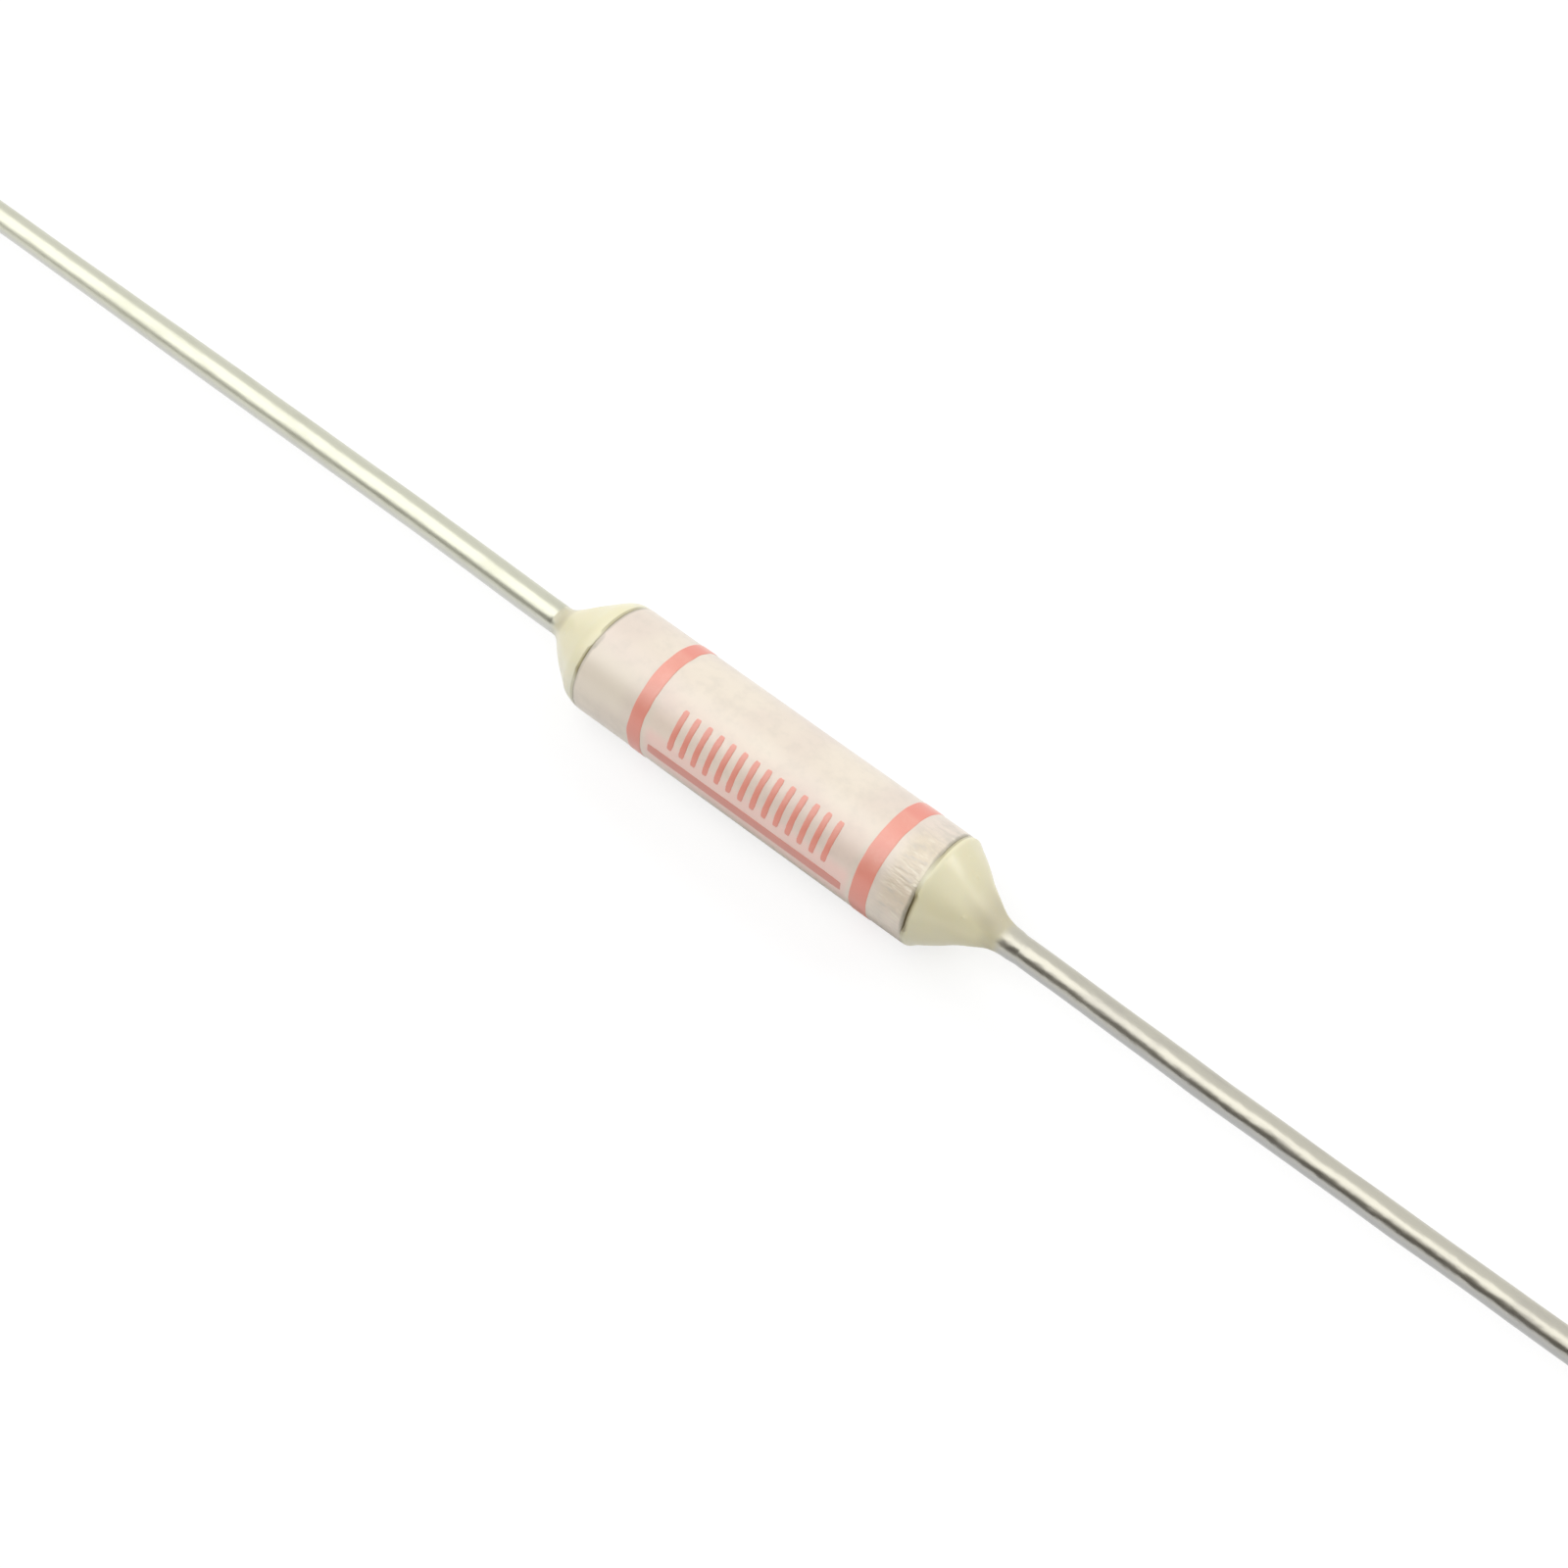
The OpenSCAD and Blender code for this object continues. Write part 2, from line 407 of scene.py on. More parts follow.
def ceramic_finish(tube):
    """Cream glaze, clouded with pinkish grey, over fired ceramic. Between the bands it carries a
    haze of ink. Short crinkles run in from the right rim, which has a smear of resin, a lighter
    strip round turn 88 and painted shade along the underside round turn 114. The front of the left
    end, round turn 50, is painted lighter as painted light. Along the open stretches of both seams
    the rim carries a brown line of painted shade, and the open groove below the glaze is darkened
    as painted shade."""
    nodes, close = new_finish("cream_glaze", IOR=1.62, Specular_IOR_Level=0.8)
    x, radius, turn = nodes.around()
    beyond, gap, right = nodes.beyond_rim(x, turn, tube.slant)
    (left_outer, left_inner), (right_inner, right_outer) = (
        [corner.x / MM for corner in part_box(f"ink_band_{name}")] for name in SIDE_NAMES.values())
    end, glaze_r = TUBE_END / MM, TUBE_R / MM

    crinkled = nodes.rise(x, end - 0.85, end - 0.5) * nodes.lobe(turn, 25, 120)
    clouds = nodes.noise(1.5, detail=1.5, roughness=0.45)
    mottle = nodes.noise(0.26, detail=2.5, roughness=0.55, shift=(4, 9, 2))
    scratches = nodes.noise(0.1, detail=2.5, roughness=0.55, stretch=(3.6, 1, 1), shift=(0, 2, 1))
    specks = nodes.rise(nodes.noise(0.09, shift=(1, 5, 7)), 0.66, 0.8)
    printed = nodes.rise(x, left_inner - 0.05, left_inner + 0.25)
    printed = printed * nodes.rise(x, right_inner + 0.03, right_inner - 0.22)
    haze = nodes.lobe(turn, 84, 26) * 0.7 + nodes.lobe(turn, 49, 36) * 0.2
    # Painted light: the front of the left end, round turn 50, is brought back to the plain cream so that it
    # looks more lit.
    clear = nodes.lobe(turn, 50, 32) * nodes.rise(x, left_outer - 0.06, left_outer - 0.46)
    at_rim = nodes.rise(x, right_outer - 0.1, right_outer + 0.1)
    ragged = nodes.noise(0.2, detail=3, shift=(4, 4, 8)) * 0.3 - 0.15
    smear = nodes.rise(beyond + ragged, -0.2, -0.08) * nodes.lobe(turn, 23, 22) * right
    wobble = nodes.noise(0.3, shift=(9, 2, 3)) * 0.05 - 0.025
    patchy = nodes.rise(nodes.noise(0.4, detail=3, shift=(2, 8, 5)), 0.25, 0.6) * 0.4 + 0.6
    # Painted shade along the open stretches of the seam, on the rim's round.
    open_seam_shade = nodes.rise(abs(beyond + 0.03 + wobble), 0.085, 0.01) * gap * patchy
    # Painted shade in the open groove below the glaze.
    below_glaze = nodes.rise(radius, glaze_r - 0.008, glaze_r - 0.04) * nodes.rise(beyond, -0.13, -0.08)

    colour = nodes.coats(
        tube.cream,
        (tube.pinkish, nodes.rise(clouds, 0.35, 0.7) * 0.7),
        (tube.greyish, nodes.rise(mottle, 0.4, 0.75) * (crinkled * 0.5 + 0.3)),
        (tube.haze, haze * printed),
        # Painted light on the front of the left end.
        (tube.cream, clear),
        (tube.stain, nodes.lobe(turn, 30, 55) * crinkled * 0.5),
        (tube.greyish, nodes.rise(scratches, 0.5, 0.72) * crinkled * 0.75),
        (tube.pale, nodes.rise(scratches, 0.46, 0.3) * crinkled * 0.6),
        # A lighter strip round turn 88, then painted shade along the underside round turn 114.
        (tube.cream, nodes.lobe(turn, 88, 16) * at_rim * 0.4),
        (tube.greyish, nodes.lobe(turn, 114, 17) * at_rim * 0.8),
        (tube.greyish, specks * 0.08),
        (tube.smear, smear * 0.7),
        # Painted shade along the open seam, on the rim.
        (tube.seam_shade_brown, open_seam_shade),
        # Painted shade in the open groove.
        (tube.groove, below_glaze * gap))
    rough = GLOSS + nodes.noise(0.5, detail=3, shift=(3, 3, 3)) * 0.05
    fine = nodes.bump(nodes.noise(0.07) + mottle, 0.0018)
    return close(Base_Color=colour, Roughness=rough, Normal=nodes.bump(scratches * crinkled, 0.03, fine))


def resin_finish(seal, wire, slant):
    """Pale cured resin that light sinks into a little, smooth and glossy, with the odd fleck. It is
    darkened at the necks with painted shade, most on the lit top side, painted lighter along two
    sides of the left cone as painted light, and olive with painted shade beside the open
    stretches of the rims, darker still in the open groove. On the wires it thins to a clear film,
    which shows the tin, painted greyer along the underside as a painted reflection of the table in
    shadow."""
    nodes, close = new_finish(
        "pale_resin", IOR=1.55, Specular_IOR_Level=0.78, Subsurface_Weight=0.25,
        Subsurface_Scale=0.25 * MM, Subsurface_Radius=(1.0, 0.8, 0.45))
    x, radius, turn = nodes.around()
    beyond, gap, right = nodes.beyond_rim(x, turn, slant)
    left = 1 - right
    wire_r, cone_r = wire_mount(RIGHT)[1] / MM, SEAL_R / MM

    flow = nodes.noise(0.9, detail=1.5, stretch=(2.2, 1, 1))
    flecks = nodes.rise(nodes.noise(0.07, shift=(5, 2, 8)), 0.72, 0.8)
    # Painted shade at the necks, strongest on the lit top side.
    lit = nodes.lobe(turn, -15, 65)
    right_neck_shade = nodes.rise(radius, lit * 0.4 + (wire_r + 0.2), wire_r + 0.04) * right
    right_neck_shade = right_neck_shade * (lit * 0.4 + 0.6)
    left_neck_shade = nodes.rise(radius, wire_r + 0.25, wire_r + 0.08) * left
    left_neck_shade = left_neck_shade * (nodes.lobe(turn, 5, 60) * 0.22 + 0.5)
    # Painted light: two sides of the left cone, round turns 95 and -52, are painted lighter.
    left_painted_light = (nodes.lobe(turn, 95, 45) + nodes.lobe(turn, -52, 35) * 0.6) * left * 0.5
    wide = nodes.rise(gap, 0.74, 0.95)
    # Painted shade in the open groove below the glaze.
    below_glaze = nodes.rise(radius, cone_r - 0.008, cone_r - 0.03) * nodes.rise(beyond, 0.075, 0.03)
    film_edge = wire_r + seal.film / MM + 0.006 + 0.014 * right.most(nodes.lobe(turn, 66, 32))
    film = nodes.rise(radius, film_edge, film_edge - 0.024)
    tin = nodes.mix(wire.left_tin, wire.right_tin, right)
    # Painted reflection of the table in shadow, along the underside of the film.
    underside = nodes.mix(wire.left_under, wire.right_under, right)

    colour = nodes.coats(
        seal.resin,
        (seal.deep, nodes.rise(flow, 0.3, 0.75) * 0.4),
        # Painted shade at the necks.
        (seal.neck_shade, right_neck_shade + left_neck_shade),
        # Painted light on two sides of the left cone.
        (seal.fleck, left_painted_light),
        (seal.fleck, flecks * 0.4),
        # Painted shade beside the open stretches of the rims.
        (seal.seam, nodes.rise(beyond, wide * 0.06 + 0.055, 0.02) * gap),
        # Painted shade in the open groove beside the rim.
        (seal.groove, nodes.rise(beyond, 0.07, 0.03) * wide * 0.8),
        (seal.groove, below_glaze * gap),
        # The film's underside colour is a painted reflection of the table in shadow.
        (nodes.coats(tin, (underside, nodes.lobe(turn, 125, 75))), film))
    matt = right_neck_shade * 0.12 + nodes.rise(beyond, 0.65, 1.0) * right * 0.07
    rough = GLOSS + nodes.noise(0.3, detail=2, shift=(7, 1, 4)) * 0.04 + matt * (1 - film)
    lumps = nodes.noise(0.2, detail=1.5, stretch=(1.8, 1, 1), shift=(2, 8, 5)) * film * right
    normal = nodes.bump(lumps, 0.02, nodes.bump(nodes.noise(0.3), 0.006))
    return close(Base_Color=colour, Metallic=film, Roughness=rough, Normal=normal)


def tin_finish(name, tint, dull, under, ripple, seed):
    """Bright tin plating on drawn wire: fine lines along it, soft ripples, dull patches, and a
    greyer colour along the underside, a painted reflection of the table in shadow."""
    nodes, close = new_finish(name, Metallic=1.0)
    turn = nodes.around()[2]
    drawn = nodes.noise(0.035, stretch=(26, 1, 1), shift=(0, seed, 0))
    patches = nodes.noise(0.45, detail=4, roughness=0.6, stretch=(2.5, 1, 1), shift=(seed, 3, 1))
    peel = nodes.noise(0.22, detail=1.5, stretch=(1.8, 1, 1), shift=(2, seed, 5))
    worn = nodes.rise(patches, 0.45, 0.72)
    # The underside colour is a painted reflection of the table in shadow.
    colour = nodes.coats(tint, (dull, worn * 0.7), (under, nodes.lobe(turn, 125, 75)))
    broad = nodes.bump(nodes.noise(0.9, detail=1, shift=(seed, 0, 0)), 0.03 * ripple)
    normal = nodes.bump(peel, 0.014 * ripple, nodes.bump(drawn, 0.0006, broad))
    return close(Base_Color=colour, Roughness=TIN_GLOSS + worn * 0.06 + drawn * 0.03, Normal=normal)


def ink_finish(inks):
    """Thin red ink that the cream shows through here and there, a deeper red round the back and
    the front of the tube and along the rule, with a soft sheen."""
    nodes, close = new_finish("red_print", IOR=1.62, Specular_IOR_Level=0.8)
    x, _, turn = nodes.around()
    middle, half = (size / MM for size in span("ink_rule"))
    thin = nodes.rise(nodes.noise(0.3, detail=4, roughness=0.65), 0.4, 0.8)
    thick = nodes.rise(nodes.noise(0.5, detail=3, shift=(6, 6, 1)), 0.5, 0.75)
    # A deeper red round turn -31 and turn 78.
    deeper_turns = nodes.lobe(turn, -31, 17) + nodes.lobe(turn, 78, 40) * 0.7
    on_rule = nodes.lobe(turn, 85, 16) * nodes.rise(abs(x - middle), half + 0.12, half + 0.04)
    colour = nodes.coats(
        inks.red, (inks.thin_red, thin * 0.5), (inks.thick_red, deeper_turns.most(thick * 0.4)),
        (inks.rule_red, on_rule * 0.9))
    normal = nodes.bump(nodes.noise(0.06, detail=3), 0.003)
    return close(Base_Color=colour, Roughness=GLOSS + nodes.noise(0.12) * 0.09, Normal=normal)


def alloy_finish(link):
    """Dull grey low-melting alloy with a cast grain."""
    nodes, close = new_finish("link_alloy", Metallic=1.0)
    grain = nodes.noise(0.12, detail=4)
    colour = nodes.mix(link.alloy, link.alloy_dark, nodes.rise(grain, 0.4, 0.7))
    return close(Base_Color=colour, Roughness=0.35 + grain * 0.2, Normal=nodes.bump(grain, 0.01))


def flux_finish(link):
    """Hard amber flux, clouded and glossy."""
    nodes, close = new_finish("link_flux", IOR=1.52, Subsurface_Weight=0.4, Subsurface_Scale=0.3 * MM)
    clouds = nodes.noise(0.5, detail=4)
    colour = nodes.mix(link.flux, link.flux_dark, nodes.rise(clouds, 0.35, 0.7))
    return close(Base_Color=colour, Roughness=0.15 + clouds * 0.15, Normal=nodes.bump(clouds, 0.02))


def seen_as_backdrop(nodes):
    """1 for what the camera sees, plainly or in metal or glass, and 0 for light that falls on things."""
    rays = [nodes.node("ShaderNodeLightPath", output=ray) for ray in (
        "Is Camera Ray", "Is Glossy Ray", "Is Transmission Ray")]
    return rays[0].most(rays[1]).most(rays[2])


def floor_finish(studio):
    """A white table top. Round the fuse it keeps its shadow, and further out it is plain white.
    Below the tube it shows its own tone in the glaze."""
    material = bpy.data.materials.new("studio_table")
    nodes = Nodes(material)
    x, y, _ = nodes.parts(nodes.place())
    far = nodes.rise((x * x + y * y) ** 0.5, studio.shadow_reach / MM, 1.6 * studio.shadow_reach / MM)
    table = nodes.node("ShaderNodeBsdfDiffuse", None, {"Color": studio.table})
    shaded = nodes.node("ShaderNodeBsdfDiffuse", None, {"Color": studio.table_shade})
    glow = nodes.node("ShaderNodeEmission", None, {"Color": studio.table_glow})
    white = nodes.node("ShaderNodeEmission", None, {"Strength": 1.0})
    near = nodes.node("ShaderNodeAddShader", None, {0: shaded, 1: glow})
    shown = nodes.node("ShaderNodeMixShader", None, {0: far, 1: near, 2: white})
    end, tube_r = TUBE_END / MM, TUBE_R / MM
    below_tube = nodes.rise(abs(y), tube_r + 0.55, tube_r + 0.1)
    below_tube = below_tube * nodes.rise(x, 0.3 - end, 0) * nodes.rise(x, end + 0.1, end - 0.4)
    glossy = nodes.node("ShaderNodeLightPath", output="Is Glossy Ray")
    seen = seen_as_backdrop(nodes) * (1 - below_tube * glossy)
    nodes.finish("ShaderNodeOutputMaterial", nodes.node(
        "ShaderNodeMixShader", None, {0: seen, 1: table, 2: shown}))
    return material


def card_finish(studio):
    """Matt card, dark to the right and paler to the left."""
    nodes, close = new_finish("dark_card", Specular_IOR_Level=0.1)
    across = nodes.parts(nodes.place())[0]
    reach = studio.reach / MM
    pale = nodes.rise(across, -0.2 * reach, -0.7 * reach)
    return close(Base_Color=nodes.mix(studio.card, studio.card_pale, pale), Roughness=0.9)


# ---------------- sizes and colours a user may change

def length(name, description, default, largest=0.1):
    """A length in metres."""
    return FloatProperty(
        name=name, description=description, default=default, min=0.0, max=largest,
        precision=6, unit="LENGTH", subtype="DISTANCE")


def angle(name, description, degrees):
    """An angle, given in degrees and kept in radians."""
    return FloatProperty(name=name, description=description, default=math.radians(degrees),
                         unit="ROTATION", subtype="ANGLE")


def whole_number(name, description, default, least=20):
    """A whole number."""
    return IntProperty(name=name, description=description, default=default, min=least)


def radiance(name, description, default):
    """A lamp's radiance."""
    return FloatProperty(name=name, description=description, default=default, min=0)


def colour(name, description, default):
    """A linear colour."""
    return FloatVectorProperty(name=name, description=description, default=default,
                               size=3, min=0.0, max=1.0, subtype="COLOR")


def both_sides(group, *settings):
    """Adds settings to a group, each one for the left and one for the right: what kind it is, its
    name, its description and its two defaults."""
    for kind, name, description, *defaults in settings:
        for side, default in zip(SIDE_NAMES.values(), defaults):
            group.__annotations__[f"{side}_{name}"] = kind(
                f"{side.capitalize()} {name}", f"{description}, on the {side}", default)


def of_side(settings, side, *names):
    """The settings that a group has for one side, by their names."""
    return [getattr(settings, f"{SIDE_NAMES[side]}_{name}") for name in names]


class TubeSettings(bpy.types.PropertyGroup):
    rim_round: length("Rim round", "Radius of the rounded outer rims", 0.08 * MM)
    wall: length("Wall", "Thickness of the tube's wall", 0.5 * MM)
    waviness: length("Waviness", "Depth of the soft unevenness of the glaze", 0.005 * MM)
    slant: length("Slant", "Most by which an end of the tube is out of square", 0.06 * MM)
    rows: whole_number("Rows", "Rings along the outside", 150)
    columns: whole_number("Columns", "Points round each ring", 300, 32)
    cream: colour("Cream", "Main colour of the glaze", (0.80, 0.71, 0.59))
    pinkish: colour("Pinkish", "Colour of the glaze's clouds", (0.72, 0.61, 0.53))
    greyish: colour("Greyish", "Colour of the glaze's mottle and specks", (0.615, 0.55, 0.465))
    pale: colour("Pale", "Colour between the crinkles by the right rim", (0.86, 0.79, 0.65))
    smear: colour("Smear", "Colour of the resin smeared over the right rim", (0.80, 0.73, 0.56))
    haze: colour("Haze", "Colour of the faint haze of ink round the rule and bars", (0.91, 0.61, 0.54))
    stain: colour("Stain", "Colour of the faint stain near the right rim", (0.67, 0.56, 0.385))
    # Painted shade: the brown line along the open stretches of the seams at the rims.
    seam_shade_brown: colour("Rim brown", "Colour of the line where the glaze thins at a rim", (0.30, 0.27, 0.19))
    # Painted shade in the open groove below the glaze.
    groove: colour("Groove", "Colour in the groove beside the resin", (0.20, 0.165, 0.085))


class SealSettings(bpy.types.PropertyGroup):
    film: length("Film", "Thickness of the resin on the wire at the end of a cone", 0.02 * MM)
    tail: length("Tail", "Length over which that film runs out along the wire", 0.28 * MM)
    right_fill: length("Right fill", "Extra resin in the right cone's hollow", 0.048 * MM)
    swell: length("Swell", "Height of the soft unevenness of the cones", 0.011 * MM)
    rows: whole_number("Rows", "Rings along a cone", 90)
    columns: whole_number("Columns", "Points round each ring", 300, 32)
    resin: colour("Resin", "Main colour of the resin", (0.80, 0.75, 0.52))
    deep: colour("Deep", "Colour of the resin where it is thick", (0.72, 0.66, 0.42))
    # Painted shade where the resin closes on the wire.
    neck_shade: colour("Neck", "Colour of the resin where it closes on the wire", (0.53, 0.48, 0.33))
    # Also used as painted light along two sides of the left cone.
    fleck: colour("Fleck", "Colour of pale flecks in the resin", (0.88, 0.86, 0.72))
    # Painted shade beside the open stretches of the rims.
    seam: colour("Seam", "Colour of the resin's edge beside the tube", (0.40, 0.345, 0.18))
    # Painted shade in the open groove.
    groove: colour("Groove", "Colour in an open seam, below the glaze", (0.24, 0.20, 0.095))


both_sides(
    SealSettings,
    (angle, "slope", "Slope of the cone from the axis", 38, 35),
    (length, "shoulder", "Radius of the cone's shoulder", 0.56 * MM, 0.22 * MM),
    (length, "hollow", "Radius of the cone's hollow at the wire", 0.39 * MM, 1.4 * MM),
    (length, "bulge", "Height to which the cone's slope bulges", 0.022 * MM, 0.034 * MM),
    (length, "lean", "How far the cone leans up and back", 0.012 * MM, 0.05 * MM))


class WireSettings(bpy.types.PropertyGroup):
    bend_gap: length("Bend gap", "Straight length between a cone and the slight bend", 0.4 * MM)
    bend_slope: angle("Bend slope", "Slope of the wire between its two slight bends", 0.7)
    cut_edge: length("Cut edge", "Width of the small bevel at a wire's cut end", 0.03 * MM)
    rows: whole_number("Rows", "Rings along a wire", 420)
    columns: whole_number("Columns", "Points round each ring", 72, 16)


both_sides(
    WireSettings,
    (length, "ripple", "Height of the wire's unevenness", 0.0015 * MM, 0.005 * MM),
    (length, "extra", "Extra tin round the wire near the body", 0.025 * MM, 0.0),
    (colour, "tin", "Colour of the bright plating", (0.62, 0.62, 0.51), (0.545, 0.525, 0.445)),
    (colour, "dull", "Colour of its duller patches", (0.565, 0.565, 0.455), (0.46, 0.44, 0.39)),
    # The under colour is a painted reflection of the table in shadow, along the wire's underside.
    (colour, "under", "Colour along its underside", (0.575, 0.575, 0.54), (0.44, 0.44, 0.43)))


class PrintSettings(bpy.types.PropertyGroup):
    bar_count: whole_number("Bars", "Number of upright bars", 14, 2)
    bar_width: length("Bar width", "Width of one bar along the tube", 0.14 * MM)
    thickness: length("Ink thickness", "Height of the ink over the glaze", 0.007 * MM)
    ragged: length("Ragged edge", "Most by which a print's edge wanders", 0.012 * MM)
    columns: whole_number("Columns", "Points round each ring of a band", 480, 32)
    red: colour("Red", "Main colour of the ink", (0.80, 0.31, 0.235))
    thin_red: colour("Thin red", "Colour where the ink is thin", (0.83, 0.40, 0.32))
    rule_red: colour("Rule red", "Colour of the rule, where the ink is thickest", (0.66, 0.235, 0.18))
    thick_red: colour("Thick red", "Colour where the ink is thick", (0.78, 0.25, 0.185))


class LinkSettings(bpy.types.PropertyGroup):
    alloy: colour("Alloy", "Colour of the fusible alloy", (0.42, 0.42, 0.42))
    alloy_dark: colour("Alloy grain", "Darker colour in its grain", (0.30, 0.30, 0.31))
    flux: colour("Flux", "Colour of the flux", (0.55, 0.30, 0.07))
    flux_dark: colour("Flux clouds", "Darker colour in the flux", (0.36, 0.16, 0.03))


class StudioSettings(bpy.types.PropertyGroup):
    azimuth: angle("Azimuth", "Turn of the camera from the front towards the right", 41.1)
    elevation: angle("Elevation", "Height of the camera above the horizon", 55.19)
    distance: length("Distance", "Distance from the camera to the point it looks at", 77.42 * MM, 10)
    aim: FloatVectorProperty(
        name="Aim", description="Point that the camera looks at", size=3, unit="LENGTH",
        default=(0.265 * MM, -0.007 * MM, -0.125 * MM), precision=6, subtype="XYZ")
    view_angle: angle("View angle", "Angle of the camera's view", 22.82)
    reach: length("Reach", "Distance of the lamps from the fuse", 400 * MM, 10)
    key: radiance("Key", "Radiance of the main soft lamp", 1.6)
    sheen: radiance("Sheen", "Radiance that glossy surfaces show of it", 0.85)
    back: radiance("Back", "Radiance of the soft lamp behind", 1.0)
    front: radiance("Front", "Radiance of the soft lamp in front", 0.62)
    side: radiance("Side", "Radiance of the small lamp to the right", 3.2)
    fill: radiance("Fill", "Radiance of the white surroundings on things", 0.47)
    table: colour("Table", "Colour of the table top", (0.60, 0.60, 0.59))
    table_shade: colour("Table shade", "How strongly the table shows shadows", (0.30, 0.30, 0.30))
    table_glow: colour("Table glow", "White added to the table", (0.73, 0.73, 0.73))
    shadow_reach: length("Shadow reach", "Distance out to which the table shows shadows", 60 * MM, 10)
    card: colour("Card", "Colour of the dark card", (0.12, 0.11, 0.10))
    card_pale: colour("Card's pale end", "Colour of its left end", (0.8, 0.8, 0.78))


# ---------------- the pieces

def rim_shift(side, turn, slant):
    """How far an end of the tube stands out at a turn, given in numpy or as a shader value:
    slant * (share * cos(turn - leaning turn) + offset)."""
    share, leaning, offset = RIM_LEANS[side]
    apart = turn - math.radians(leaning)
    wave = apart.cosine() if isinstance(turn, Value) else np.cos(apart)
    return (wave * share + offset) * slant


def tube_rings(tube):
    """The tube as one closed loop of rings: along the outside from left to right, round the right
    rim, in over the end face, back through the bore and out over the left end face and rim. The
    glaze lies below the true radius by waviness * (0.5 - unevenness / 2), held between 0 and 1.6
    times the waviness, and near each end the surface moves along the axis by that end's shift."""
    straight = TUBE_END - tube.rim_round
    bore = TUBE_R - tube.wall
    half = np.concatenate([
        np.linspace(0, straight, tube.rows // 2 + 1),
        straight + tube.rim_round * np.sin(ARC),
        [TUBE_END, TUBE_END, TUBE_END, TUBE_END - BORE_CHAMFER, straight - 1 * MM, 0.5 * straight]])
    half_r = np.concatenate([
        np.full(tube.rows // 2 + 1, TUBE_R),
        TUBE_R - tube.rim_round * (1 - np.cos(ARC)),
        [TUBE_R - tube.rim_round, 0.5 * (TUBE_R + bore), bore + BORE_CHAMFER, bore, bore, bore]])
    x = np.concatenate([half, [0.0], -half[:0:-1]])[:, None]
    radius = np.concatenate([half_r, [bore], half_r[:0:-1]])[:, None]
    turn = turns(tube.columns)
    girth = FULL_TURN * TUBE_R
    outer = smooth_step(bore + 0.3 * MM, TUBE_R - tube.rim_round, radius)
    soft = waves(x, turn, girth, 1.1 * MM, seed=3)
    fine = waves(x, turn, girth, 0.35 * MM, seed=4)
    crinkle = waves(x, turn, girth, 0.13 * MM, seed=5, stretch=2.6, count=40)
    crinkled = smooth_step(TUBE_END - 0.8 * MM, TUBE_END - 0.45 * MM, x)
    unevenness = 0.6 * soft + 0.15 * fine + 0.5 * crinkle * crinkled
    radius = radius + outer * tube.waviness * np.clip(unevenness * 0.5 - 0.5, -1.6, 0)
    for side in (LEFT, RIGHT):
        near = smooth_step(TUBE_END - 0.5 * MM, TUBE_END - 0.1 * MM, side * x)
        x = x + side * near * rim_shift(side, turn, tube.slant)
    return round_points(x, radius, turn)


def open_groove(side, turn):
    """How deep the groove between rim and resin is at a turn: 0.06 + 0.94 * openness ^ 3, where each
    stretch is open over two fifths of its half width and closes smoothly from there."""
    level = 0.0
    for centre, width, strength in OPEN_STRETCHES[side]:
        shut, opened = math.radians(width), math.radians(0.4 * width)
        level = level + strength * smooth_step(shut, opened, turned_apart(turn, centre))
    return 0.06 + 0.94 * np.clip(level, 0, 1) ** 3


def cone_radius(out, slope, shoulder, hollow, film_r, cone, bulge):
    """Radius of a cone's outline at a distance out from the tube's end: an arc of the shoulder's
    radius that starts along the axis, a slope that bulges by a sine squared, and an arc of the
    hollow's radius that runs out along the wire. Before the tube's end it rises to the glaze."""
    arc_end = shoulder * math.sin(slope)
    hollow_start = cone - hollow * math.sin(slope)
    arc_r = SEAL_R - shoulder + np.sqrt(np.maximum(shoulder ** 2 - np.clip(out, 0, arc_end) ** 2, 0))
    slope_r = SEAL_R - shoulder * (1 - math.cos(slope)) - (out - arc_end) * math.tan(slope)
    share = np.clip((out - arc_end) / (hollow_start - arc_end), 0, 1)
    slope_r = slope_r + bulge * np.sin(math.pi * share) ** 2
    left = np.clip(cone - out, 0, hollow)
    hollow_r = film_r + hollow - np.sqrt(np.maximum(hollow ** 2 - left ** 2, 0))
    flush = SEAL_R + (TUBE_R - SEAL_R) * smooth_step(0, 0.06 * MM, -out)
    return np.select([out < 0, out < arc_end, out < hollow_start], [flush, arc_r, slope_r], hollow_r)


